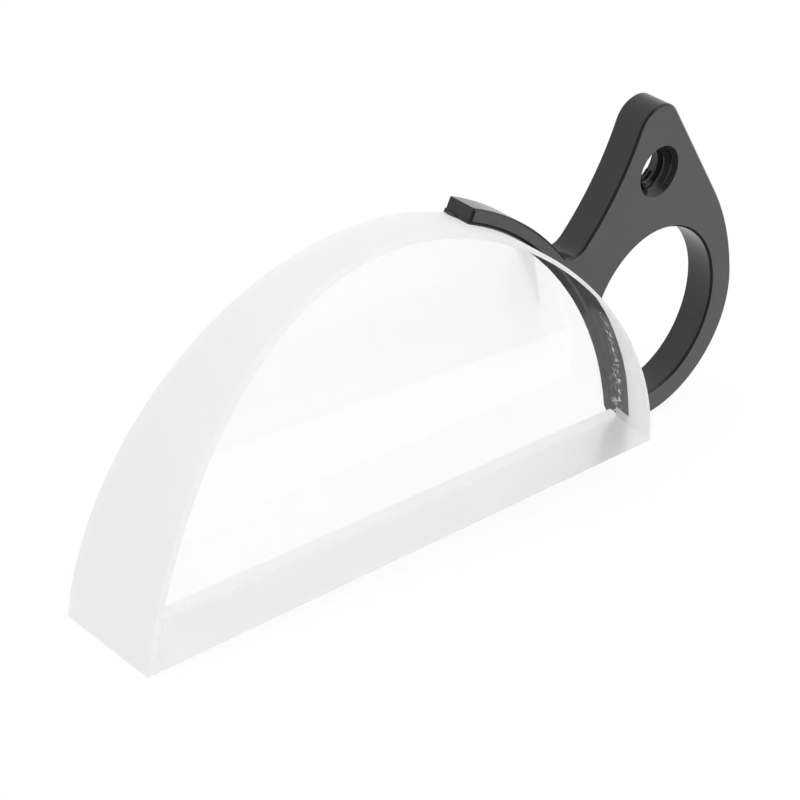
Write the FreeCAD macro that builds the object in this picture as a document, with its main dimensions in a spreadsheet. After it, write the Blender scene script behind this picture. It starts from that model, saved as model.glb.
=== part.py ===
"""Handheld half-moon camera prism on a finger-ring bracket, as a parametric FreeCAD document.

Three pieces, bonded together and with nothing that moves:
  prism    glass segment of a disc, flat at the back and convex along its height at the front
  bond     thin cured film of adhesive between the rim of the glass and the bracket
  bracket  one milled plate: cradle strip along the rim, ear with a 1/4-20 thread, finger ring

Frame, in millimetres: the origin is the centre of the flat base of the glass, +X runs along the
base towards the bracket, +Y from the convex front to the flat back, and +Z up from the base.
"""
import FreeCAD, Part
import math
import os
import Sketcher

# Driving dimensions: alias, value in millimetres or degrees, and what it is.
DIMENSIONS = [
    ("rim_radius", 44.0, "radius of the disc that the glass is cut from"),
    ("centre_drop", 4.0, "depth of the disc's centre below the base"),
    ("prism_thickness", 16.5, "thickness of the glass at its base"),
    ("front_radius", 90.0, "radius of the convex front, curved along the height only"),
    ("front_bevel", 0.6, "leg of the rim's front bevel across the convex front"),
    ("back_bevel", 1.25, "leg of the bevels round the flat back, across the back"),
    ("side_bevel", 0.4, "leg of every bevel across the rim and the base"),
    ("bond_gap", 0.2, "thickness of the adhesive film"),
    ("bond_lead", 0.6, "how far the adhesive stands out in front of the bracket"),
    ("front_clearance", 5.0, "room in front of the glass for the cut that shapes its convex face"),
    ("bond_start", 7.0, "angle at which the adhesive starts, from +X about the disc's centre"),
    ("plate_thickness", 4.8, "thickness of the bracket plate"),
    ("plate_bevel", 0.3, "bevel round the outline of the plate"),
    ("cradle_depth", 2.0, "radial depth of the cradle strip"),
    ("cradle_start", 4.0, "angle at which the strip starts, inside the ring"),
    ("cradle_end", 68.8, "angle of the strip's free end"),
    ("neck_fillet", 3.0, "fillet between the strip and the ear"),
    ("ring_x", 55.3, "centre of the ring's outline"),
    ("ring_z", 10.1, "centre of the ring's outline"),
    ("ring_radius", 16.3, "radius of the ring's outline"),
    ("ring_tip_fillet", 1.0, "fillet at the lower tip of the ring"),
    ("opening_x", 54.9, "centre of the finger opening"),
    ("opening_z", 11.2, "centre of the finger opening"),
    ("opening_long", 13.5, "half length of the finger opening, along the rim"),
    ("opening_short", 12.3, "half width of the finger opening, away from the rim"),
    ("opening_fillet", 1.2, "fillet where the opening meets the cradle strip"),
    ("ear_x", 51.3, "centre of the ear's rounded end"),
    ("ear_z", 40.3, "centre of the ear's rounded end"),
    ("ear_radius", 4.1, "radius of the ear's rounded end"),
    ("flank_x", 8.1, "centre of the hollow inner flank of the ear"),
    ("flank_z", 54.6, "centre of the hollow inner flank of the ear"),
    ("flank_foot", -51.0, "angle at which the hollow flank ends, inside the cradle strip"),
    ("blank_x", 38.0, "corner of the neck's blank inside the rim, where the seat is cut away"),
    ("blank_z", 14.0, "corner of the neck's blank inside the rim, where the seat is cut away"),
    ("back_x", 35.6, "centre of the long outer curve of the bracket"),
    ("back_z", 6.7, "centre of the long outer curve of the bracket"),
    ("back_radius", 36.28, "radius of the long outer curve of the bracket"),
    ("thread_x", 52.3, "axis of the threaded hole"),
    ("thread_z", 34.2, "axis of the threaded hole"),
    ("thread_radius", 3.175, "major radius of the 1/4-20 thread"),
    ("thread_countersink", 0.6, "45 degree countersink at both mouths of the thread"),
]
SIZE = {alias: value for alias, value, _ in DIMENSIONS}
SHEET = "Dimensions"
TOLERANCE = 1e-4
CORNER_REACH = 0.05


# ---------------------------------------------------------------- document helpers
def add_sheet(doc):
    """Spreadsheet whose cells hold the driving dimensions under their aliases."""
    sheet = doc.addObject("Spreadsheet::Sheet", SHEET)
    for row, (alias, value, meaning) in enumerate(DIMENSIONS, start=1):
        sheet.set("A%d" % row, alias)
        sheet.set("B%d" % row, str(value))
        sheet.set("C%d" % row, meaning)
        sheet.setAlias("B%d" % row, alias)
    doc.recompute()


def bind(item, path, expression):
    """Bind one property to an expression in which @name stands for a cell of the sheet."""
    item.setExpression(path, expression.replace("@", SHEET + "."))


def add_body(doc, label):
    """Empty PartDesign body that carries its node name as its label."""
    body = doc.addObject("PartDesign::Body", label)
    body.Label = label
    body.Placement = FreeCAD.Placement()
    return body


def origin_plane(body, role):
    """One of the body's own origin planes."""
    return next(item for item in body.Origin.OriginFeatures if item.Role == role)


def add_sketch(body, name, role):
    """Sketch on an origin plane of its own body."""
    sketch = body.newObject("Sketcher::SketchObject", name)
    sketch.AttachmentSupport = [(origin_plane(body, role), "")]
    sketch.MapMode = "FlatFace"
    return sketch


def add_plate_sketch(body, name):
    """Sketch on the front face of the bracket plate: its x is +X and its y is +Z."""
    sketch = add_sketch(body, name, "XZ_Plane")
    bind(sketch, "AttachmentOffset.Base.z", "@plate_thickness - @prism_thickness / 2")
    return sketch


def vector(x, y):
    return FreeCAD.Vector(x, y, 0)


def line(start, end):
    return Part.LineSegment(vector(*start), vector(*end))


def circle(centre, radius):
    return Part.Circle(vector(*centre), FreeCAD.Vector(0, 0, 1), radius)


def arc(centre, radius, start_deg, end_deg):
    """Arc drawn counter-clockwise from one angle to the other."""
    return Part.ArcOfCircle(circle(centre, radius), math.radians(start_deg), math.radians(end_deg))


def polar(centre, radius, angle_deg):
    angle = math.radians(angle_deg)
    return centre[0] + radius * math.cos(angle), centre[1] + radius * math.sin(angle)


def direction(start, end):
    """Angle in degrees of the line from one point to another."""
    return math.degrees(math.atan2(end[1] - start[1], end[0] - start[0]))


def fix(sketch, kind, *where, name, expression, value):
    """Dimension in a sketch, bound to the sheet."""
    index = sketch.addConstraint(Sketcher.Constraint(kind, *where, value))
    sketch.renameConstraint(index, name)
    bind(sketch, "Constraints." + name, expression)


def place_centre(sketch, geometry, name, x_expression, y_expression, at):
    """Hold the centre of an arc or circle at a named place in the sketch."""
    fix(sketch, "DistanceX", -1, 1, geometry, 3, name=name + "_x", expression=x_expression, value=at[0])
    fix(sketch, "DistanceY", -1, 1, geometry, 3, name=name + "_z", expression=y_expression, value=at[1])


def add_pad(body, name, sketch, expression):
    """Pad from the front face of the plate towards +Y."""
    pad = body.newObject("PartDesign::Pad", name)
    pad.Profile = sketch
    pad.Reversed = True
    bind(pad, "Length", expression)
    return pad


def add_pocket(body, name, sketch):
    """Cut right through the body, both ways from the sketch."""
    before = body.Shape.Volume
    pocket = body.newObject("PartDesign::Pocket", name)
    pocket.Profile = sketch
    pocket.Type = "ThroughAll"
    pocket.Midplane = True
    body.Document.recompute()
    if body.Shape.Volume > before - TOLERANCE:
        raise RuntimeError(name + " removed nothing")


def dress_edges(body, kind, name, wanted):
    """Chamfer or fillet feature on the edges of the tip that a test picks out."""
    base = body.Tip
    names = ["Edge%d" % (i + 1) for i, edge in enumerate(base.Shape.Edges) if wanted(edge)]
    if not names:
        raise RuntimeError(name + " found no edge")
    dress = body.newObject("PartDesign::" + kind, name)
    dress.Base = (base, names)
    return dress


def add_fillet(body, name, expression, wanted):
    fillet = dress_edges(body, "Fillet", name, wanted)
    bind(fillet, "Radius", expression)
    body.Document.recompute()


def add_chamfer(body, name, expression, wanted):
    chamfer = dress_edges(body, "Chamfer", name, wanted)
    bind(chamfer, "Size", expression)
    body.Document.recompute()


def add_uneven_chamfer(body, name, first, second, wanted):
    """Chamfer with the first leg across the face and the second across the rim or the base."""
    chamfer = dress_edges(body, "Chamfer", name, wanted)
    chamfer.ChamferType = "Two distances"
    chamfer.FlipDirection = True
    bind(chamfer, "Size", first)
    bind(chamfer, "Size2", second)
    body.Document.recompute()


def in_plane_y(edge, y):
    """True when an edge lies in the plane at this y."""
    box = edge.BoundBox
    return abs(box.YMin - y) < TOLERANCE and abs(box.YMax - y) < TOLERANCE


def in_plane_z(edge, z):
    box = edge.BoundBox
    return abs(box.ZMin - z) < TOLERANCE and abs(box.ZMax - z) < TOLERANCE


def through_plate(edge, point):
    """True for an edge that runs along Y and passes close to a point in X and Z."""
    box = edge.BoundBox
    straight = box.XLength < TOLERANCE and box.ZLength < TOLERANCE
    return straight and math.dist((box.XMin, box.ZMin), point) < CORNER_REACH


# ---------------------------------------------------------------- the glass
def draw_segment(sketch):
    """Outline of the glass seen from the front: a disc cut off by the base line."""
    radius = SIZE["rim_radius"]
    drop = SIZE["centre_drop"]
    half_width = math.sqrt(radius ** 2 - drop ** 2)
    lift = math.degrees(math.asin(drop / radius))
    rim = sketch.addGeometry(arc((0, -drop), radius, lift, 180 - lift))
    base = sketch.addGeometry(line((-half_width, 0), (half_width, 0)))
    sketch.addConstraint(Sketcher.Constraint("Coincident", rim, 1, base, 2))
    sketch.addConstraint(Sketcher.Constraint("Coincident", rim, 2, base, 1))
    sketch.addConstraint(Sketcher.Constraint("PointOnObject", base, 1, -1))
    sketch.addConstraint(Sketcher.Constraint("PointOnObject", base, 2, -1))
    sketch.addConstraint(Sketcher.Constraint("PointOnObject", rim, 3, -2))
    fix(sketch, "Radius", rim, name="rim", expression="@rim_radius", value=radius)
    fix(sketch, "DistanceY", rim, 3, -1, 1, name="drop", expression="@centre_drop", value=drop)


def draw_front_waste(sketch):
    """What is ground away in front of the convex face, seen from the side."""
    radius = SIZE["front_radius"]
    front = -SIZE["prism_thickness"] / 2
    top = SIZE["rim_radius"]
    clear = front - SIZE["front_clearance"]
    lowest = 180 - math.degrees(math.asin(top / radius))
    end = polar((front + radius, 0), radius, lowest)
    face = sketch.addGeometry(arc((front + radius, 0), radius, lowest, 180))
    under = sketch.addGeometry(line((front, 0), (clear, 0)))
    side = sketch.addGeometry(line((clear, 0), (clear, end[1])))
    over = sketch.addGeometry(line((clear, end[1]), end))
    sketch.addConstraint(Sketcher.Constraint("Coincident", face, 2, under, 1))
    sketch.addConstraint(Sketcher.Constraint("Coincident", under, 2, side, 1))
    sketch.addConstraint(Sketcher.Constraint("Coincident", side, 2, over, 1))
    sketch.addConstraint(Sketcher.Constraint("Coincident", over, 2, face, 1))
    sketch.addConstraint(Sketcher.Constraint("Vertical", side))
    sketch.addConstraint(Sketcher.Constraint("Horizontal", over))
    sketch.addConstraint(Sketcher.Constraint("PointOnObject", under, 1, -1))
    sketch.addConstraint(Sketcher.Constraint("PointOnObject", under, 2, -1))
    sketch.addConstraint(Sketcher.Constraint("PointOnObject", face, 3, -1))
    fix(sketch, "Radius", face, name="front", expression="@front_radius", value=radius)
    fix(sketch, "DistanceX", under, 1, -1, 1, name="face",
        expression="@prism_thickness / 2", value=-front)
    fix(sketch, "DistanceX", under, 2, under, 1, name="clear",
        expression="@front_clearance", value=SIZE["front_clearance"])
    fix(sketch, "DistanceY", -1, 1, over, 2, name="top", expression="@rim_radius", value=top)


def build_prism(doc):
    body = add_body(doc, "prism")
    outline = add_sketch(body, "SegmentOutline", "XZ_Plane")
    draw_segment(outline)
    blank = body.newObject("PartDesign::Pad", "SegmentBlank")
    blank.Profile = outline
    blank.Midplane = True
    bind(blank, "Length", "@prism_thickness")
    doc.recompute()
    waste = add_sketch(body, "FrontWaste", "YZ_Plane")
    draw_front_waste(waste)
    add_pocket(body, "ConvexFront", waste)

    front = -SIZE["prism_thickness"] / 2
    back = SIZE["prism_thickness"] / 2

    def front_rim(edge):
        """The edge where the rim meets the convex front."""
        return edge.BoundBox.ZMax > SIZE["rim_radius"] / 2 and not in_plane_y(edge, back)

    def back_rim(edge):
        return edge.BoundBox.ZMax > SIZE["rim_radius"] / 2 and in_plane_y(edge, back)

    def base_back(edge):
        return in_plane_z(edge, 0) and in_plane_y(edge, back)

    def base_front(edge):
        return in_plane_z(edge, 0) and in_plane_y(edge, front)

    add_uneven_chamfer(body, "FrontRimBevel", "@front_bevel", "@side_bevel", front_rim)
    add_uneven_chamfer(body, "BackRimBevel", "@back_bevel", "@side_bevel", back_rim)
    add_uneven_chamfer(body, "BaseBackBevel", "@back_bevel", "@side_bevel", base_back)
    add_chamfer(body, "BaseFrontBevel", "@side_bevel", base_front)
    return body


# ---------------------------------------------------------------- parts of the bracket and the film
def draw_band(sketch, inner, outer, start, end):
    """Band of a ring about the disc's centre, between two radii and two angles.

    Each argument is a pair: the value, and the expression that drives it.
    """
    centre = (0, -SIZE["centre_drop"])
    inside = sketch.addGeometry(arc(centre, inner[0], start[0], end[0]))
    outside = sketch.addGeometry(arc(centre, outer[0], start[0], end[0]))
    foot = sketch.addGeometry(line(polar(centre, inner[0], start[0]), polar(centre, outer[0], start[0])))
    tip = sketch.addGeometry(line(polar(centre, inner[0], end[0]), polar(centre, outer[0], end[0])))
    sketch.addConstraint(Sketcher.Constraint("Coincident", inside, 1, foot, 1))
    sketch.addConstraint(Sketcher.Constraint("Coincident", foot, 2, outside, 1))
    sketch.addConstraint(Sketcher.Constraint("Coincident", inside, 2, tip, 1))
    sketch.addConstraint(Sketcher.Constraint("Coincident", tip, 2, outside, 2))
    sketch.addConstraint(Sketcher.Constraint("PointOnObject", inside, 3, -2))
    sketch.addConstraint(Sketcher.Constraint("PointOnObject", outside, 3, -2))
    fix(sketch, "DistanceY", inside, 3, -1, 1, name="drop", expression="@centre_drop", value=-centre[1])
    fix(sketch, "DistanceY", outside, 3, -1, 1, name="drop_out",
        expression="@centre_drop", value=-centre[1])
    fix(sketch, "Radius", inside, name="inner", expression=inner[1], value=inner[0])
    fix(sketch, "Radius", outside, name="outer", expression=outer[1], value=outer[0])
    fix(sketch, "Angle", -1, 1, foot, 1, name="start", expression=start[1], value=math.radians(start[0]))
    fix(sketch, "Angle", -1, 1, tip, 1, name="end", expression=end[1], value=math.radians(end[0]))


def draw_neck(sketch):
    """Ear, neck and long outer curve, closed behind the ring and inside the rim."""
    ear = (SIZE["ear_x"], SIZE["ear_z"])
    flank = (SIZE["flank_x"], SIZE["flank_z"])
    back = (SIZE["back_x"], SIZE["back_z"])
    ring = (SIZE["ring_x"], SIZE["ring_z"])
    flank_radius = math.dist(flank, ear) - SIZE["ear_radius"]
    lean = math.acos((SIZE["back_radius"] - SIZE["ear_radius"]) / math.dist(back, ear))
    side = direction(back, ear) - math.degrees(lean)
    ring_touch = direction(back, ring)
    flank_top = direction(flank, ear)
    flank_foot = SIZE["flank_foot"]
    inside = (SIZE["blank_x"], SIZE["blank_z"])

    hollow = sketch.addGeometry(arc(flank, flank_radius, flank_foot, flank_top))
    crown = sketch.addGeometry(arc(ear, SIZE["ear_radius"], side, flank_top + 180))
    slope = sketch.addGeometry(line(polar(ear, SIZE["ear_radius"], side),
                                    polar(back, SIZE["back_radius"], side)))
    sweep = sketch.addGeometry(arc(back, SIZE["back_radius"], ring_touch, side))
    across = sketch.addGeometry(line(polar(back, SIZE["back_radius"], ring_touch), inside))
    inner = sketch.addGeometry(line(inside, polar(flank, flank_radius, flank_foot)))
    sketch.addConstraint(Sketcher.Constraint("Tangent", hollow, 2, crown, 2))
    sketch.addConstraint(Sketcher.Constraint("Tangent", crown, 1, slope, 1))
    sketch.addConstraint(Sketcher.Constraint("Tangent", slope, 2, sweep, 2))
    sketch.addConstraint(Sketcher.Constraint("Coincident", sweep, 1, across, 1))
    sketch.addConstraint(Sketcher.Constraint("Coincident", across, 2, inner, 1))
    sketch.addConstraint(Sketcher.Constraint("Coincident", inner, 2, hollow, 1))
    place_centre(sketch, crown, "ear", "@ear_x", "@ear_z", ear)
    place_centre(sketch, hollow, "flank", "@flank_x", "@flank_z", flank)
    place_centre(sketch, sweep, "back", "@back_x", "@back_z", back)
    fix(sketch, "Radius", crown, name="crown", expression="@ear_radius", value=SIZE["ear_radius"])
    fix(sketch, "Radius", sweep, name="sweep", expression="@back_radius", value=SIZE["back_radius"])


def draw_disc(sketch, name, centre, radius, x_cell, z_cell, radius_expression):
    """Full circle at a place that two cells give."""
    disc = sketch.addGeometry(circle(centre, radius))
    place_centre(sketch, disc, name, x_cell, z_cell, centre)
    fix(sketch, "Radius", disc, name=name + "_radius", expression=radius_expression, value=radius)


def draw_opening(sketch):
    """Oval finger opening, its long axis square to the line from the disc's centre."""
    centre = (SIZE["opening_x"], SIZE["opening_z"])
    half_long = SIZE["opening_long"]
    half_short = SIZE["opening_short"]
    outward = direction((0, -SIZE["centre_drop"]), centre)
    long_end = polar(centre, half_long, outward + 90)
    short_end = polar(centre, half_short, outward)
    oval = sketch.addGeometry(Part.Ellipse(vector(*long_end), vector(*short_end), vector(*centre)))
    sketch.exposeInternalGeometry(oval)
    long_axis, short_axis = oval + 1, oval + 2
    place_centre(sketch, oval, "opening", "@opening_x", "@opening_z", centre)
    fix(sketch, "Distance", long_axis, name="long", expression="@opening_long * 2", value=half_long * 2)
    fix(sketch, "Distance", short_axis, name="short", expression="@opening_short * 2",
        value=half_short * 2)


def build_bracket(doc):
    body = add_body(doc, "bracket")
    drop = SIZE["centre_drop"]
    inner = SIZE["rim_radius"] + SIZE["bond_gap"]
    outer = inner + SIZE["cradle_depth"]
    front = SIZE["prism_thickness"] / 2 - SIZE["plate_thickness"]
    rear = SIZE["prism_thickness"] / 2

    ring = add_plate_sketch(body, "RingOutline")
    draw_disc(ring, "ring", (SIZE["ring_x"], SIZE["ring_z"]), SIZE["ring_radius"],
              "@ring_x", "@ring_z", "@ring_radius")
    add_pad(body, "Ring", ring, "@plate_thickness")
    neck = add_plate_sketch(body, "NeckOutline")
    draw_neck(neck)
    add_pad(body, "Neck", neck, "@plate_thickness")
    doc.recompute()

    opening = add_plate_sketch(body, "OpeningOutline")
    draw_opening(opening)
    add_pocket(body, "FingerOpening", opening)
    seat = add_plate_sketch(body, "SeatOutline")
    draw_disc(seat, "seat", (0, -drop), inner, "0 mm", "-@centre_drop", "@rim_radius + @bond_gap")
    add_pocket(body, "RimSeat", seat)
    strip = add_plate_sketch(body, "CradleOutline")
    draw_band(strip, (inner, "@rim_radius + @bond_gap"),
              (outer, "@rim_radius + @bond_gap + @cradle_depth"),
              (SIZE["cradle_start"], "@cradle_start * 1 deg"),
              (SIZE["cradle_end"], "@cradle_end * 1 deg"))
    add_pad(body, "Cradle", strip, "@plate_thickness")
    doc.recompute()
    round_corners(body, inner, outer, drop)

    thread_axis = (SIZE["thread_x"], SIZE["thread_z"])
    thread = add_plate_sketch(body, "ThreadOutline")
    draw_disc(thread, "thread", thread_axis, SIZE["thread_radius"],
              "@thread_x", "@thread_z", "@thread_radius")
    add_pocket(body, "ThreadHole", thread)

    def on_a_face(edge):
        return in_plane_y(edge, front) or in_plane_y(edge, rear)

    def is_mouth(edge):
        """One of the thread's two circular mouths."""
        centre = edge.BoundBox.Center
        return on_a_face(edge) and math.dist((centre.x, centre.z), thread_axis) < TOLERANCE

    def is_outline(edge):
        return on_a_face(edge) and not is_mouth(edge)

    add_chamfer(body, "Countersinks", "@thread_countersink", is_mouth)
    add_chamfer(body, "PlateBevel", "@plate_bevel", is_outline)
    return body


def round_corners(body, inner, outer, drop):
    """Cutter fillets in the corners that run through the plate."""
    centre = (0, -drop)
    flank = (SIZE["flank_x"], SIZE["flank_z"])
    flank_radius = math.dist(flank, (SIZE["ear_x"], SIZE["ear_z"])) - SIZE["ear_radius"]
    neck_foot = meeting(centre, outer, flank, flank_radius)
    ring_tip = meeting(centre, inner, (SIZE["ring_x"], SIZE["ring_z"]), SIZE["ring_radius"])

    def at_neck(edge):
        return through_plate(edge, neck_foot)

    def at_opening(edge):
        """The two corners where the oval opening meets the strip."""
        corner = (edge.BoundBox.XMin, edge.BoundBox.ZMin)
        on_strip = abs(math.dist(centre, corner) - outer) < CORNER_REACH
        return through_plate(edge, corner) and on_strip and by_opening(corner)

    def at_tip(edge):
        return through_plate(edge, ring_tip)

    add_fillet(body, "NeckFillet", "@neck_fillet", at_neck)
    add_fillet(body, "OpeningFillets", "@opening_fillet", at_opening)
    add_fillet(body, "RingTipFillet", "@ring_tip_fillet", at_tip)


def by_opening(point):
    """True on the edge of the finger opening or inside it, and so not at the ends of the strip."""
    centre = (SIZE["opening_x"], SIZE["opening_z"])
    return math.dist(centre, point) < SIZE["opening_long"] + CORNER_REACH


def meeting(first, first_radius, second, second_radius):
    """Where two circles cross, right of the line from the first centre to the second."""
    span = math.dist(first, second)
    along = (first_radius ** 2 - second_radius ** 2 + span ** 2) / (2 * span)
    aside = math.sqrt(first_radius ** 2 - along ** 2)
    unit = ((second[0] - first[0]) / span, (second[1] - first[1]) / span)
    return (first[0] + along * unit[0] + aside * unit[1],
            first[1] + along * unit[1] - aside * unit[0])


def build_bond(doc):
    body = add_body(doc, "bond")
    sketch = add_sketch(body, "FilmOutline", "XZ_Plane")
    bind(sketch, "AttachmentOffset.Base.z", "@plate_thickness + @bond_lead - @prism_thickness / 2")
    rim = SIZE["rim_radius"]
    draw_band(sketch, (rim, "@rim_radius"), (rim + SIZE["bond_gap"], "@rim_radius + @bond_gap"),
              (SIZE["bond_start"], "@bond_start * 1 deg"), (SIZE["cradle_end"], "@cradle_end * 1 deg"))
    add_pad(body, "Film", sketch, "@plate_thickness + @bond_lead - @side_bevel")
    doc.recompute()
    return body


# ---------------------------------------------------------------- checks and export
def check(doc, bodies):
    """Stop on any broken feature, and on any piece that isn't one closed solid."""
    for item in doc.Objects:
        if "Invalid" in item.State or "Error" in item.State:
            raise RuntimeError("%s is in state %s" % (item.Name, item.State))
    for body in bodies:
        shape = body.Shape
        if shape.isNull() or not shape.isValid() or len(shape.Solids) != 1:
            raise RuntimeError("%s isn't one valid solid" % body.Label)
        box = shape.BoundBox
        print("%-8s volume %9.1f  x %6.2f..%6.2f  y %6.2f..%6.2f  z %6.2f..%6.2f" % (
            body.Label, shape.Volume, box.XMin, box.XMax, box.YMin, box.YMax, box.ZMin, box.ZMax))


def main():
    doc = FreeCAD.newDocument("handheld_prism")
    add_sheet(doc)
    bodies = [build_prism(doc), build_bond(doc), build_bracket(doc)]
    doc.recompute()
    check(doc, bodies)
    os.makedirs("parts", exist_ok=True)
    for body in bodies:
        body.Shape.exportStep("parts/%s.step" % body.Label)


main()
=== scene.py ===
"""Handheld half-moon camera prism: glass, bond film and ring bracket on a plain pale floor.

Frame, in metres: origin at the centre of the glass's flat base, +X along the base towards the
bracket, +Y from the convex front to the flat back, +Z up.
"""
import math

import bpy
from mathutils import Matrix, Vector, noise


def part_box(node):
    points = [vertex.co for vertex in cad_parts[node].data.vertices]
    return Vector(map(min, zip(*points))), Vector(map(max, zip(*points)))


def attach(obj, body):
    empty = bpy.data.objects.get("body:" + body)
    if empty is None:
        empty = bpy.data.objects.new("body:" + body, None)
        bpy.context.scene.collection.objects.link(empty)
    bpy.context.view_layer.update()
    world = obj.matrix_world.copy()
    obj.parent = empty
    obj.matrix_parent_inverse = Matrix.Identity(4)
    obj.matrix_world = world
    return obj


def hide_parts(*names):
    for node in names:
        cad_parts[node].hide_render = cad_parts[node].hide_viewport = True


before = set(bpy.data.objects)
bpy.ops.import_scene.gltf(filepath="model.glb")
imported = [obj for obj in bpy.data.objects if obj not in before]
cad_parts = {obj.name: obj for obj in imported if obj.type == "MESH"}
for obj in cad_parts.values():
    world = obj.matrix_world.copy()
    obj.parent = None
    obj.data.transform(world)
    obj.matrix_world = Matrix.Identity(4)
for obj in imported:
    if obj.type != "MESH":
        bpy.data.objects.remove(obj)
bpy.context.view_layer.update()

MM = 0.001
BODY = "root"

# ---------------------------------------------------------------- sizes of the glass and the plate
CENTRE_DROP = 4.0 * MM
FRONT_RADIUS = 90.0 * MM
FRONT_BEVEL = 0.6 * MM
BACK_BEVEL = 1.25 * MM
SIDE_BEVEL = 0.4 * MM
PLATE_BEVEL = 0.3 * MM
RIM_SEGMENTS = 240

GLASS_LOW, GLASS_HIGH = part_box("prism")
BRACKET_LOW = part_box("bracket")[0]
RIM_RADIUS = GLASS_HIGH.z + CENTRE_DROP
BACK_Y = GLASS_HIGH.y
FRONT_Y = GLASS_LOW.y
PLATE_Y = BRACKET_LOW.y
FRONT_FACE_RADIUS = RIM_RADIUS - FRONT_BEVEL
BACK_FACE_RADIUS = RIM_RADIUS - BACK_BEVEL

# ---------------------------------------------------------------- sizes of the adhesive
BOND_GAP = 0.2 * MM
BOND_START = math.radians(7.0)
BOND_END = math.radians(68.8)
BOND_STEPS = 240
# front edge of the adhesive on the rim: angle in degrees, y in millimetres
BOND_EDGE = [(7, 2.5), (20, 1.9), (30, 1.65), (39, 2.0), (47, 3.65), (69, 3.65)]
BOND_RAGGED = 0.12
BOND_SEED = 1.7
FILM_LIFT = 0.02 * MM
FILM_SLOPE = 0.15 * MM

# adhesive on the flat back: where it starts, its width, and the angles over which it runs out
BACK_BOND_START = math.radians(5.6)
MARGIN = 0.95 * MM
MARGIN_RAGGED = 0.04
MARGIN_SEED = 5.2
MARGIN_RISE = math.radians(3.0)
MARGIN_FALL = math.radians(2.0)
ANGLE_SLACK = 1e-6

# waves in the ragged edges, per radian
SLOW_WAVES = 40
QUICK_WAVES = 110

# bead at the strip's free end: its size, and how much of it is even and how much is lumps
BEAD_FRONT = 5.7 * MM
BEAD_BACK = 8.1 * MM
BEAD_SIZE = 0.55 * MM
BEAD_EVEN = 0.7
BEAD_LUMPS = 0.5
BEAD_SINK = 0.01 * MM
BEAD_LENGTH_STEPS = 28
BEAD_ROUND_STEPS = 8

# trail of bubbles, slanting backwards as it climbs: y at angle zero, fall per degree, top angle
BUBBLE_Y = 8.0 * MM
BUBBLE_SLANT = 0.132 * MM
BUBBLE_TOP = 28
BUBBLE_FADE = 2
BUBBLE_CORE = 0.6 * MM
BUBBLE_REACH = 1.9 * MM
BUBBLE_STRETCH = 0.55
ADHESIVE_DARK_FROM = 28.5
ADHESIVE_DARK_BLEND = 1

# ---------------------------------------------------------------- sizes of the thread
THREAD_X = 52.3 * MM
THREAD_Z = 34.2 * MM
THREAD_MAJOR = 3.175 * MM
THREAD_MINOR = 2.55 * MM
THREAD_PITCH = 1.27 * MM
COUNTERSINK = 0.6 * MM
# ridge: steps in a turn, steps over which it grows, half widths, and the part of a turn free at each end
THREAD_STEPS = 48
THREAD_RUNOUT = THREAD_STEPS / 3
THREAD_ROOT = THREAD_MAJOR - 0.005 * MM
RIDGE_HALF = THREAD_PITCH * 0.46
CREST_HALF = THREAD_PITCH * 0.07
THREAD_INSET = COUNTERSINK * 0.4
THREAD_START = PLATE_Y + THREAD_INSET
THREAD_END = BACK_Y - THREAD_INSET
THREAD_FREE = 0.5

# ---------------------------------------------------------------- stage, light and camera
FLOOR_HALF = 3.0
FLOOR_GAP = 0.02 * MM
FLOOR_GLOW = 1.0
FLOOR_PAPER = 0.1
SKY_LIGHT = 1.0
HORIZON_LIGHT = 0.85
HORIZON_FADE = 0.25
SOFTBOX_SIDE = 0.6
SOFTBOX_POWER = 1.6
SOFTBOX_PLACE = (0.0, -0.1, 0.7)
CAMERA_LENS = 114.55
CAMERA_FILM = 36.0
CAMERA_PLACE = Vector((-192.9, -196.16, 183.61)) * MM
CAMERA_AIM = Vector((0.60503, 0.60784, -0.51426)).normalized()
CAMERA_ROLL = math.radians(4.195)
CAMERA_NEAR = 0.01
CAMERA_FAR = 20.0

# ---------------------------------------------------------------- colours, as dark and light ends
GLASS_INDEX = 1.56
CLEAR = [(0.986, 0.992, 0.989, 1), (0.993, 0.996, 0.995, 1)]
FROST = (0.99, 0.99, 0.985, 1)
RIM_MILK = (0.985, 0.984, 0.978, 1)
BASE_MILK = (0.998, 0.998, 0.993, 1)
GLUE = [(0.008, 0.008, 0.009, 1), (0.03, 0.03, 0.031, 1)]
GLUE_GREY = [(0.07, 0.07, 0.07, 1), (0.12, 0.12, 0.118, 1)]
GLUE_BLACK = [(0.0015, 0.0015, 0.002, 1), (0.006, 0.006, 0.006, 1)]
BUBBLE = (0.8, 0.8, 0.79, 1)
BLASTED = [(0.042, 0.042, 0.0425, 1), (0.054, 0.054, 0.0545, 1)]
MILLED = [(0.007, 0.007, 0.0075, 1), (0.014, 0.014, 0.0145, 1)]
BEVEL_PAINTED_SHADE = (0.018, 0.018, 0.019, 1)
PAPER = [(0.88, 0.88, 0.88, 1), (0.9, 0.9, 0.9, 1)]
# noise values between which a pattern runs from its low end to its high end
DRIFT = (0.3, 0.7)
FLECKS = (0.53, 0.6)


# ---------------------------------------------------------------- node helpers
def new_material(name):
    material = bpy.data.materials.new(name)
    material.use_nodes = True
    tree = material.node_tree
    tree.nodes.clear()
    return material, tree


def add(tree, kind, **values):
    """Shader node with its sockets or properties set by name."""
    node = tree.nodes.new(kind)
    for key, value in values.items():
        socket = key.replace("_", " ")
        if socket in node.inputs:
            node.inputs[socket].default_value = value
        else:
            setattr(node, key, value)
    return node


def feed(tree, socket, value):
    """Give a socket a constant, or link it to another socket."""
    if isinstance(value, bpy.types.NodeSocket):
        tree.links.new(value, socket)
    else:
        socket.default_value = value


def split(tree, source):
    """X, Y and Z of a vector, by name."""
    node = tree.nodes.new("ShaderNodeSeparateXYZ")
    tree.links.new(source, node.inputs["Vector"])
    return node.outputs


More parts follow.
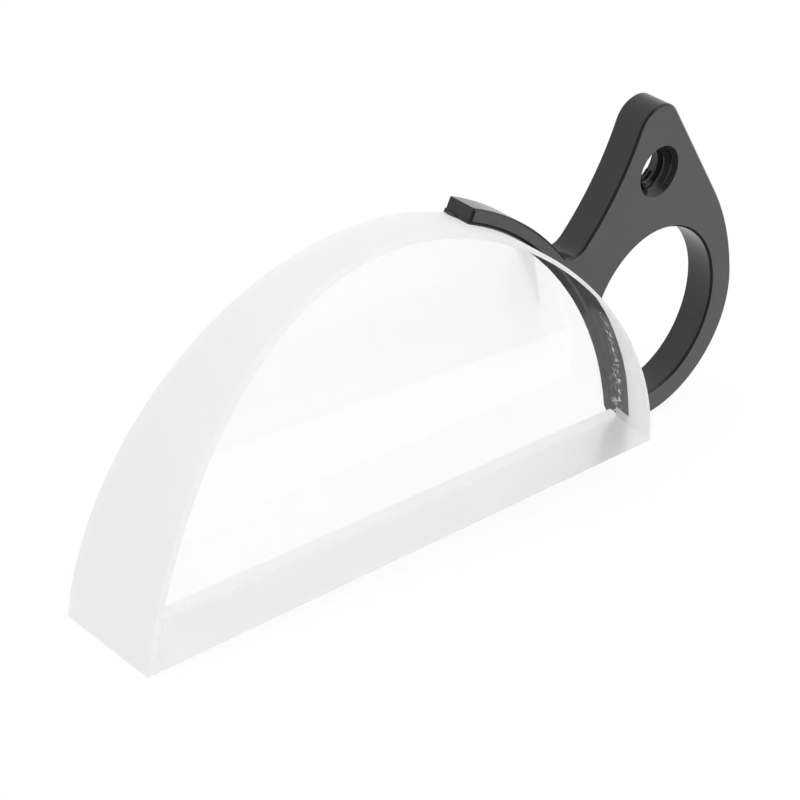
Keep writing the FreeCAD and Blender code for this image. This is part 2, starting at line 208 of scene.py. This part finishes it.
def object_place(tree):
    return tree.nodes.new("ShaderNodeTexCoord").outputs["Object"]


def noise_at(tree, place, scale):
    node = add(tree, "ShaderNodeTexNoise", Scale=scale, Detail=3.0, Roughness=0.5)
    tree.links.new(place, node.inputs["Vector"])
    return node.outputs["Fac"]


def math_node(tree, operation, *values):
    """Sum, product or other operation on numbers or sockets."""
    node = add(tree, "ShaderNodeMath", operation=operation)
    for socket, value in zip(node.inputs, values):
        feed(tree, socket, value)
    return node.outputs["Value"]


def map_range(tree, source, low, high, to_low, to_high):
    """Value carried from one range to another and held at the ends."""
    node = tree.nodes.new("ShaderNodeMapRange")
    names = ("Value", "From Min", "From Max", "To Min", "To Max")
    for name, value in zip(names, (source, low, high, to_low, to_high)):
        feed(tree, node.inputs[name], value)
    return node.outputs["Result"]


def mix_shaders(tree, share, first, second):
    mix = tree.nodes.new("ShaderNodeMixShader")
    feed(tree, mix.inputs["Fac"], share)
    tree.links.new(first, mix.inputs[1])
    tree.links.new(second, mix.inputs[2])
    return mix.outputs["Shader"]


def mix_colours(tree, share, first, second):
    """Blend of two colours, each a tuple or a socket."""
    mix = add(tree, "ShaderNodeMix", data_type="RGBA")
    tree.links.new(share, mix.inputs["Factor"])
    sockets = [item for item in mix.inputs if item.type == "RGBA"]
    for socket, colour in zip(sockets, (first, second)):
        feed(tree, socket, colour)
    return next(item for item in mix.outputs if item.type == "RGBA")


def clouded(tree, place, scale, colours):
    """Colour that drifts between a dark and a light end."""
    return mix_colours(tree, noise_at(tree, place, scale), *colours)


def roughen(tree, shader, height, strength, distance):
    """Fine surface texture on a shader."""
    bump = add(tree, "ShaderNodeBump", Strength=strength, Distance=distance)
    tree.links.new(height, bump.inputs["Height"])
    tree.links.new(bump.outputs["Normal"], shader.inputs["Normal"])


def finish(tree, shader):
    output = tree.nodes.new("ShaderNodeOutputMaterial")
    tree.links.new(shader, output.inputs["Surface"])


# ---------------------------------------------------------------- glass materials
def glass_shader(tree, colour, roughness):
    shader = add(tree, "ShaderNodeBsdfPrincipled", Roughness=roughness, IOR=GLASS_INDEX)
    shader.inputs["Transmission Weight"].default_value = 1.0
    feed(tree, shader.inputs["Base Color"], colour)
    return shader


def milky(tree, colour, soaked_share):
    """White scatter off a ground surface, of which a share soaks through."""
    white = add(tree, "ShaderNodeBsdfDiffuse", Color=colour)
    soaked = add(tree, "ShaderNodeBsdfTranslucent", Color=colour)
    return mix_shaders(tree, soaked_share, white.outputs["BSDF"], soaked.outputs["BSDF"])


def polished_glass():
    material, tree = new_material("glass_polished")
    tint = clouded(tree, object_place(tree), 25.0, CLEAR)
    finish(tree, glass_shader(tree, tint, 0.0).outputs["BSDF"])
    return material


def ground_glass():
    """Frosted rim and bevels: rough glass, with white scatter that light also soaks through."""
    material, tree = new_material("glass_ground")
    place = object_place(tree)
    rough = glass_shader(tree, FROST, 0.6)
    roughen(tree, rough, noise_at(tree, place, 2600.0), 0.3, 0.02 * MM)
    share = map_range(tree, noise_at(tree, place, 90.0), *DRIFT, 0.64, 0.72)
    finish(tree, mix_shaders(tree, share, rough.outputs["BSDF"], milky(tree, RIM_MILK, 0.45)))
    return material


def base_glass():
    """Finely ground underside: from inside it works as a soft mirror."""
    material, tree = new_material("glass_base")
    soft = glass_shader(tree, FROST, 0.4)
    gloss = map_range(tree, noise_at(tree, object_place(tree), 150.0), *DRIFT, 0.36, 0.44)
    feed(tree, soft.inputs["Roughness"], gloss)
    finish(tree, mix_shaders(tree, 0.5, soft.outputs["BSDF"], milky(tree, BASE_MILK, 0.8)))
    return material


# ---------------------------------------------------------------- adhesive materials
def dark_adhesive():
    material, tree = new_material("adhesive_film")
    shader = add(tree, "ShaderNodeBsdfPrincipled", Roughness=0.3)
    feed(tree, shader.inputs["Base Color"], clouded(tree, object_place(tree), 500.0, GLUE))
    finish(tree, shader.outputs["BSDF"])
    return material


def rim_angle(tree, across, up):
    """Angle in degrees about the disc's centre."""
    turn = math_node(tree, "ARCTAN2", math_node(tree, "ADD", up, CENTRE_DROP), across)
    return math_node(tree, "MULTIPLY", turn, math.degrees(1))


def bubble_mask(tree, depth, angle):
    """Streaks of small bubbles, on a slanting trail across the lower part of the joint."""
    trail = math_node(tree, "MULTIPLY_ADD", angle, -BUBBLE_SLANT, BUBBLE_Y)
    aside = math_node(tree, "ABSOLUTE", math_node(tree, "SUBTRACT", depth, trail))
    near = map_range(tree, aside, BUBBLE_CORE, BUBBLE_REACH, 1.0, 0.0)
    low = map_range(tree, angle, BUBBLE_TOP, BUBBLE_TOP + BUBBLE_FADE, 1.0, 0.0)
    spread = tree.nodes.new("ShaderNodeCombineXYZ")
    feed(tree, spread.inputs["X"], math_node(tree, "MULTIPLY", angle, BUBBLE_STRETCH))
    feed(tree, spread.inputs["Y"], math_node(tree, "MULTIPLY", depth, BUBBLE_STRETCH / MM))
    flecks = add(tree, "ShaderNodeTexNoise", Scale=1.6, Detail=4.0, Roughness=0.65, Distortion=1.2)
    tree.links.new(spread.outputs["Vector"], flecks.inputs["Vector"])
    sharp = map_range(tree, flecks.outputs["Fac"], *FLECKS, 0.0, 1.0)
    return math_node(tree, "MULTIPLY", sharp, math_node(tree, "MULTIPLY", near, low))


def bonded_glass():
    """Adhesive seen through the glass: satin grey, near black at the top, with bubbles lower down."""
    material, tree = new_material("adhesive_seen_in_glass")
    place = object_place(tree)
    along = split(tree, place)
    angle = rim_angle(tree, along["X"], along["Z"])
    grey = clouded(tree, place, 350.0, GLUE_GREY)
    black = clouded(tree, place, 350.0, GLUE_BLACK)
    low, high = ADHESIVE_DARK_FROM - ADHESIVE_DARK_BLEND, ADHESIVE_DARK_FROM + ADHESIVE_DARK_BLEND
    top = map_range(tree, angle, low, high, 0.0, 1.0)
    glue = mix_colours(tree, top, grey, black)
    shader = add(tree, "ShaderNodeBsdfPrincipled", Roughness=0.6, IOR=1.0, Specular_IOR_Level=0.0)
    bubbles = bubble_mask(tree, along["Y"], angle)
    feed(tree, shader.inputs["Base Color"], mix_colours(tree, bubbles, glue, BUBBLE))
    finish(tree, shader.outputs["BSDF"])
    return material


# ---------------------------------------------------------------- metal and floor materials
def painted_bevel_shade_mask(tree, sideways, across):
    """One on the slanting bevels and thread flanks that face -X, towards the glass, where painted shade
    darkens the anodising to stand in for a dark reflection; zero elsewhere.
    """
    steep = math_node(tree, "ABSOLUTE", across)
    slant = math_node(tree, "ABSOLUTE", math_node(tree, "SUBTRACT", steep, math.sqrt(0.5)))
    bevel = map_range(tree, slant, 0.06, 0.14, 1.0, 0.0)
    inward = map_range(tree, sideways, -0.35, -0.15, 1.0, 0.0)
    return math_node(tree, "MULTIPLY", bevel, inward)


def anodised():
    """Black anodising: matt on the blasted front and back, smoother on the milled edges, with painted
    shade on the bevels that face the glass.
    """
    material, tree = new_material("black_anodised")
    place = object_place(tree)
    facing = split(tree, tree.nodes.new("ShaderNodeTexCoord").outputs["Normal"])
    flat = map_range(tree, math_node(tree, "ABSOLUTE", facing["Y"]), 0.85, 0.97, 0.0, 1.0)
    milled = clouded(tree, place, 120.0, MILLED)
    blasted = clouded(tree, place, 120.0, BLASTED)
    grain = noise_at(tree, place, 3000.0)
    milled_gloss = map_range(tree, grain, *DRIFT, 0.16, 0.24)
    blasted_gloss = map_range(tree, grain, *DRIFT, 0.38, 0.5)
    shader = add(tree, "ShaderNodeBsdfPrincipled", IOR=1.5)
    feed(tree, shader.inputs["Base Color"], mix_colours(tree, flat, milled, blasted))
    feed(tree, shader.inputs["Roughness"], map_range(tree, flat, 0.0, 1.0, milled_gloss, blasted_gloss))
    roughen(tree, shader, grain, 0.2, 0.01 * MM)
    # painted shade: a near-black matt shader laid over the left-facing bevels in place of a dark
    # reflection
    bevel_shade = add(tree, "ShaderNodeBsdfPrincipled", Base_Color=BEVEL_PAINTED_SHADE, Roughness=0.9, IOR=1.1)
    bevel = painted_bevel_shade_mask(tree, facing["X"], facing["Y"])
    finish(tree, mix_shaders(tree, bevel, shader.outputs["BSDF"], bevel_shade.outputs["BSDF"]))
    return material


def floor_material():
    """Pale paper that is lit from below as much as from above."""
    material, tree = new_material("pale_floor")
    paper = add(tree, "ShaderNodeBsdfDiffuse")
    feed(tree, paper.inputs["Color"], clouded(tree, object_place(tree), 6.0, PAPER))
    glow = add(tree, "ShaderNodeEmission", Strength=FLOOR_GLOW)
    finish(tree, mix_shaders(tree, FLOOR_PAPER, glow.outputs["Emission"], paper.outputs["BSDF"]))
    return material


# ---------------------------------------------------------------- mesh helpers
class Shell:
    """Faces gathered one by one, each with its own corner normals and material slot."""

    def __init__(self):
        self.points = []
        self.index = {}
        self.faces = []
        self.normals = []
        self.slots = []

    def point(self, p):
        key = tuple(round(c, 9) for c in p)
        if key not in self.index:
            self.index[key] = len(self.points)
            self.points.append(key)
        return self.index[key]

    def face(self, corners, normals, slot):
        """Add a face, dropping corners that fall on each other and turning it to face its normals."""
        kept = []
        kept_normals = []
        for corner, normal in zip(corners, normals):
            i = self.point(corner)
            if i not in kept:
                kept.append(i)
                kept_normals.append(Vector(normal).normalized())
        if len(kept) < 3:
            return
        across = Vector((0, 0, 0))
        for a, b in zip(kept, kept[1:] + kept[:1]):
            across += Vector(self.points[a]).cross(Vector(self.points[b]))
        if across.dot(sum(kept_normals, Vector())) < 0:
            kept.reverse()
            kept_normals.reverse()
        self.faces.append(kept)
        self.normals.append(kept_normals)
        self.slots.append(slot)

    def flat(self, corners, normal, slot):
        self.face(corners, [normal] * len(corners), slot)

    def build(self, name, materials):
        mesh = bpy.data.meshes.new(name)
        mesh.from_pydata(self.points, [], self.faces)
        for material in materials:
            mesh.materials.append(material)
        for polygon, slot in zip(mesh.polygons, self.slots):
            polygon.use_smooth = True
            polygon.material_index = slot
        mesh.normals_split_custom_set([n for corner_normals in self.normals for n in corner_normals])
        mesh.update()
        piece = bpy.data.objects.new(name, mesh)
        bpy.context.scene.collection.objects.link(piece)
        return piece


def on_arc(radius, angle, y):
    """Point on a circle about the disc's centre."""
    return Vector((radius * math.cos(angle), y, radius * math.sin(angle) - CENTRE_DROP))


def radial(angle):
    return Vector((math.cos(angle), 0, math.sin(angle)))


def smooth(share):
    share = min(1.0, max(0.0, share))
    return share * share * (3 - 2 * share)


def ripple(angle, seed):
    """Small irregular wave along the rim, about -1 to 1."""
    slow = noise.noise(Vector((angle * SLOW_WAVES, seed, 0)))
    quick = noise.noise(Vector((angle * QUICK_WAVES, seed, 3)))
    return slow + 0.5 * quick


# ---------------------------------------------------------------- the glass
POLISHED, GROUND, BONDED, UNDERSIDE = 0, 1, 2, 3
BACKWARD = Vector((0, 1, 0))
DOWN = Vector((0, 0, -1))
RIM_FOOT = math.asin(CENTRE_DROP / RIM_RADIUS)
FRONT_FOOT = math.asin((CENTRE_DROP + SIDE_BEVEL) / FRONT_FACE_RADIUS)
BACK_FOOT = math.asin((CENTRE_DROP + BACK_BEVEL) / BACK_FACE_RADIUS)
BASE_END = -RIM_RADIUS * math.cos(RIM_FOOT)


def front_at(z):
    """Y of the convex front at a height."""
    return FRONT_Y + FRONT_RADIUS - math.sqrt(FRONT_RADIUS ** 2 - z ** 2)


def front_normal(z):
    """Outward normal of the convex front at a height."""
    return Vector((0, front_at(z) - FRONT_Y - FRONT_RADIUS, z)).normalized()


def height(radius, angle):
    return radius * math.sin(angle) - CENTRE_DROP


def bond_front(angle):
    """Y of the adhesive's ragged front edge on the rim."""
    degrees = math.degrees(angle)
    y = BOND_EDGE[0][1]
    for (a, ya), (b, yb) in zip(BOND_EDGE, BOND_EDGE[1:]):
        if degrees > a:
            y = ya + (yb - ya) * smooth((degrees - a) / (b - a))
    return (y + BOND_RAGGED * ripple(angle, BOND_SEED)) * MM


def margin_radius(angle):
    """Inner radius of the adhesive's margin on the flat back."""
    rise = smooth((angle - BACK_BOND_START) / MARGIN_RISE)
    fall = smooth((BOND_END - angle) / MARGIN_FALL)
    width = MARGIN * min(rise, fall) * (1 + MARGIN_RAGGED * ripple(angle, MARGIN_SEED))
    return BACK_FACE_RADIUS - width


def rim_angles():
    """Angles of the rim's stations, alike on both sides, with stops at the ends of the bond."""
    span = math.pi - 2 * RIM_FOOT
    angles = [RIM_FOOT + span * i / RIM_SEGMENTS for i in range(RIM_SEGMENTS + 1)]
    for stop in (BACK_BOND_START, BOND_START, BOND_END):
        nearest = min(range(len(angles)), key=lambda i: abs(angles[i] - stop))
        angles[nearest] = stop
        angles[-1 - nearest] = math.pi - stop
    return angles


def bonded(a, b, start):
    """True between two stations that the adhesive covers."""
    return a > start - ANGLE_SLACK and b < BOND_END + ANGLE_SLACK


def shifted(angle, foot):
    """Station on an inner circle that starts at its own foot angle."""
    share = (angle - RIM_FOOT) / (math.pi - 2 * RIM_FOOT)
    return foot + (math.pi - 2 * foot) * share


def station(angle):
    """Points of the glass's outline at one station, from the convex front to the flat back."""
    front = shifted(angle, FRONT_FOOT)
    back = shifted(angle, BACK_FOOT)
    y = front_at(height(RIM_RADIUS, angle)) + SIDE_BEVEL
    return {"side": radial(angle),
            "out": front_normal(height(FRONT_FACE_RADIUS, front)),
            "face": on_arc(FRONT_FACE_RADIUS, front, front_at(height(FRONT_FACE_RADIUS, front))),
            "rim_front": on_arc(RIM_RADIUS, angle, y),
            "rim_split": on_arc(RIM_RADIUS, angle, bond_front(angle)),
            "rim_back": on_arc(RIM_RADIUS, angle, BACK_Y - SIDE_BEVEL),
            "back": on_arc(BACK_FACE_RADIUS, back, BACK_Y),
            "margin": on_arc(margin_radius(back), back, BACK_Y)}


def band(shell, p, q, first, second, normals, slot):
    """Quad between two stations, from one named point of the outline to another."""
    shell.face([p[first], q[first], q[second], p[second]],
               [normals[0], normals[1], normals[1], normals[0]], slot)


def build_rim(shell, angles, stations):
    """Front bevel, rim in two bands, back bevel, and the adhesive's margin on the back."""
    for i in range(len(angles) - 1):
        p, q = stations[i], stations[i + 1]
        on_rim = bonded(angles[i], angles[i + 1], BOND_START)
        on_back = bonded(angles[i], angles[i + 1], BACK_BOND_START)
        sides = (p["side"], q["side"])
        to_front = [t["side"] * SIDE_BEVEL + t["out"] * FRONT_BEVEL for t in (p, q)]
        to_back = [t["side"] * SIDE_BEVEL + BACKWARD * BACK_BEVEL for t in (p, q)]
        band(shell, p, q, "face", "rim_front", to_front, GROUND)
        band(shell, p, q, "rim_front", "rim_split", sides, GROUND)
        band(shell, p, q, "rim_split", "rim_back", sides, BONDED if on_rim else GROUND)
        band(shell, p, q, "rim_back", "back", to_back, BONDED if on_back else GROUND)
        band(shell, p, q, "back", "margin", (BACKWARD, BACKWARD), BONDED)


def build_faces(shell, stations):
    """The convex front and the flat back, as strips from one side of the outline to the other."""
    last = len(stations) - 1
    for i in range(last // 2):
        p, q, r, s = stations[i], stations[i + 1], stations[last - 1 - i], stations[last - i]
        shell.face([t["face"] for t in (p, q, r, s)], [t["out"] for t in (p, q, r, s)], POLISHED)
        shell.flat([t["margin"] for t in (p, q, r, s)], BACKWARD, POLISHED)


def build_base(shell, right, left):
    """Flat base and the bevels along its front and its back."""
    names = ("rim_front", "rim_split", "rim_back")
    shell.flat([left[n] for n in names] + [right[n] for n in reversed(names)], DOWN, UNDERSIDE)
    shell.flat([left["rim_front"], right["rim_front"], right["face"], left["face"]],
               DOWN - BACKWARD, GROUND)
    shell.flat([left["rim_back"], right["rim_back"], right["back"], left["back"]],
               DOWN * SIDE_BEVEL + BACKWARD * BACK_BEVEL, GROUND)


def build_glass():
    shell = Shell()
    angles = rim_angles()
    stations = [station(angle) for angle in angles]
    build_rim(shell, angles, stations)
    build_faces(shell, stations)
    build_base(shell, stations[0], stations[-1])
    return shell.build("glass_block", [polished_glass(), ground_glass(), bonded_glass(), base_glass()])


# ---------------------------------------------------------------- the bond
def film_section(angle):
    """Film's outline at one angle, as radius and y: on the rim, in the gap, and in the back groove."""
    outer = RIM_RADIUS + BOND_GAP
    front = bond_front(angle)
    groove = BACK_Y - FILM_LIFT
    lead = min(FILM_SLOPE, PLATE_Y - front) if front < PLATE_Y else 0
    return [(RIM_RADIUS + FILM_LIFT, front),
            (outer, front + lead + FILM_LIFT),
            (outer, BACK_Y - PLATE_BEVEL),
            (outer + PLATE_BEVEL - FILM_LIFT, groove),
            (BACK_FACE_RADIUS + FILM_LIFT, groove),
            (RIM_RADIUS + FILM_LIFT, BACK_Y - SIDE_BEVEL + FILM_LIFT)]


def film_end(shell, angle, section, turn):
    """Flat face that closes the film at one end."""
    along = Vector((-math.sin(angle), 0, math.cos(angle))) * turn
    shell.flat([on_arc(radius, angle, y) for radius, y in section], along, 0)


def build_film(material):
    """Cured film between the rim and the bracket, with a ragged front edge and a filled back groove."""
    shell = Shell()
    span = BOND_END - BOND_START
    angles = [BOND_START + span * i / BOND_STEPS for i in range(BOND_STEPS + 1)]
    sections = [film_section(angle) for angle in angles]
    for a, b, one, two in zip(angles, angles[1:], sections, sections[1:]):
        for k in range(len(one)):
            n = (k + 1) % len(one)
            rise, run = one[n][1] - one[k][1], one[n][0] - one[k][0]
            normals = [radial(t) * rise - BACKWARD * run for t in (a, b)]
            shell.face([on_arc(one[k][0], a, one[k][1]), on_arc(two[k][0], b, two[k][1]),
                        on_arc(two[n][0], b, two[n][1]), on_arc(one[n][0], a, one[n][1])],
                       [normals[0], normals[1], normals[1], normals[0]], 0)
    film_end(shell, angles[0], sections[0], -1)
    film_end(shell, angles[-1], sections[-1], 1)
    return shell.build("bond_film", [material])


def bead_normal(k):
    """Direction from the foot of the bead to its surface, from along the rim to straight out of it."""
    along = Vector((-math.sin(BOND_END), 0, math.cos(BOND_END)))
    turn = math.pi / 2 * k / BEAD_ROUND_STEPS
    return along * math.cos(turn) + radial(BOND_END) * math.sin(turn)


def bead_point(i, k):
    share = i / BEAD_LENGTH_STEPS
    y = BEAD_FRONT + (BEAD_BACK - BEAD_FRONT) * share
    lump = BEAD_EVEN + BEAD_LUMPS * noise.noise(Vector((share * 5, k * 0.35, 2.3)))
    swell = BEAD_SIZE * lump * math.sqrt(max(0.0, math.sin(math.pi * share)))
    return on_arc(RIM_RADIUS - BEAD_SINK, BOND_END, y) + bead_normal(k) * swell


def build_bead(material):
    """Lumpy bead of adhesive squeezed out along the foot of the strip's free end."""
    shell = Shell()
    for i in range(BEAD_LENGTH_STEPS):
        for k in range(BEAD_ROUND_STEPS):
            corners = [bead_point(i, k), bead_point(i + 1, k),
                       bead_point(i + 1, k + 1), bead_point(i, k + 1)]
            shell.face(corners, [bead_normal(n) for n in (k, k, k + 1, k + 1)], 0)
    return shell.build("bond_bead", [material])


# ---------------------------------------------------------------- the thread
def ridge_station(step, total):
    """Points across the ridge at one step, from root to root, and the direction to the axis."""
    turn = THREAD_FREE + step / THREAD_STEPS
    angle = turn * 2 * math.pi
    grown = min(1.0, step / THREAD_RUNOUT, (total - step) / THREAD_RUNOUT)
    crest = THREAD_ROOT - (THREAD_ROOT - THREAD_MINOR) * grown
    y = THREAD_START + turn * THREAD_PITCH
    outline = [(-RIDGE_HALF, THREAD_ROOT), (-CREST_HALF, crest),
               (CREST_HALF, crest), (RIDGE_HALF, THREAD_ROOT)]
    points = [Vector((THREAD_X + radius * math.cos(angle), y + shift, THREAD_Z + radius * math.sin(angle)))
              for shift, radius in outline]
    return points, -radial(angle)


def build_thread(material):
    """Helical ridge of the 1/4-20 thread inside the plain hole: a flank, the crest, a flank."""
    shell = Shell()
    turns = (THREAD_END - THREAD_START) / THREAD_PITCH
    total = int((turns - 2 * THREAD_FREE) * THREAD_STEPS)
    for step in range(total):
        p, inward = ridge_station(step, total)
        q, inward_next = ridge_station(step + 1, total)
        for k, lean in enumerate((-BACKWARD, Vector(), BACKWARD)):
            first, second = inward + lean, inward_next + lean
            shell.face([p[k], q[k], q[k + 1], p[k + 1]], [first, second, second, first], 0)
    return shell.build("thread_ridge", [material])


# ---------------------------------------------------------------- stage, light and camera
def lean_angle():
    """How far the floor drops towards the bracket when the part stands on its left end and its ring."""
    return min(math.atan2(v.co.z, v.co.x - BASE_END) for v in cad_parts["bracket"].data.vertices)


def build_stage():
    mesh = bpy.data.meshes.new("floor")
    corners = [(x * FLOOR_HALF, y * FLOOR_HALF, 0) for x, y in ((-1, -1), (1, -1), (1, 1), (-1, 1))]
    mesh.from_pydata(corners, [], [(0, 1, 2, 3)])
    mesh.materials.append(floor_material())
    floor = bpy.data.objects.new("floor", mesh)
    bpy.context.scene.collection.objects.link(floor)
    floor.location = (BASE_END, 0, -FLOOR_GAP)
    floor.rotation_euler = (0, -lean_angle(), 0)


def build_world():
    """White studio, a little darker along the horizon."""
    world = bpy.data.worlds.new("studio")
    world.use_nodes = True
    tree = world.node_tree
    background = tree.nodes["Background"]
    background.inputs["Color"].default_value = (1, 1, 1, 1)
    ray = split(tree, tree.nodes.new("ShaderNodeTexCoord").outputs["Generated"])
    light = map_range(tree, ray["Z"], 0.0, HORIZON_FADE, HORIZON_LIGHT, SKY_LIGHT)
    tree.links.new(light, background.inputs["Strength"])
    bpy.context.scene.world = world


def build_softbox():
    lamp = bpy.data.lights.new("softbox", "AREA")
    lamp.shape = "RECTANGLE"
    lamp.size = SOFTBOX_SIDE
    lamp.size_y = SOFTBOX_SIDE
    lamp.energy = SOFTBOX_POWER
    softbox = bpy.data.objects.new("softbox", lamp)
    softbox.location = SOFTBOX_PLACE
    bpy.context.scene.collection.objects.link(softbox)


def build_camera():
    data = bpy.data.cameras.new("camera")
    data.lens = CAMERA_LENS
    data.sensor_width = CAMERA_FILM
    data.clip_start = CAMERA_NEAR
    data.clip_end = CAMERA_FAR
    camera = bpy.data.objects.new("camera", data)
    level = CAMERA_AIM.cross(Vector((0, 0, 1))).normalized()
    upright = level.cross(CAMERA_AIM)
    across = math.cos(CAMERA_ROLL) * level + math.sin(CAMERA_ROLL) * upright
    up = -math.sin(CAMERA_ROLL) * level + math.cos(CAMERA_ROLL) * upright
    matrix = Matrix((across, up, -CAMERA_AIM)).transposed().to_4x4()
    matrix.translation = CAMERA_PLACE
    camera.matrix_world = matrix
    bpy.context.scene.collection.objects.link(camera)
    bpy.context.scene.camera = camera


# ---------------------------------------------------------------- assembly
def build_part():
    black = anodised()
    glue = dark_adhesive()
    glass = build_glass()
    film = build_film(glue)
    bead = build_bead(glue)
    thread = build_thread(black)
    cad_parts["bracket"].data.materials[0] = black
    for piece, slot in ((glass, "glass"), (film, "adhesive"), (bead, "adhesive"), (thread, "anodised")):
        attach(piece, BODY)
    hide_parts("prism")
    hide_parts("bond")
    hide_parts("bond")


bpy.context.scene.view_settings.view_transform = "Standard"
build_part()
build_stage()
build_world()
build_softbox()
build_camera()
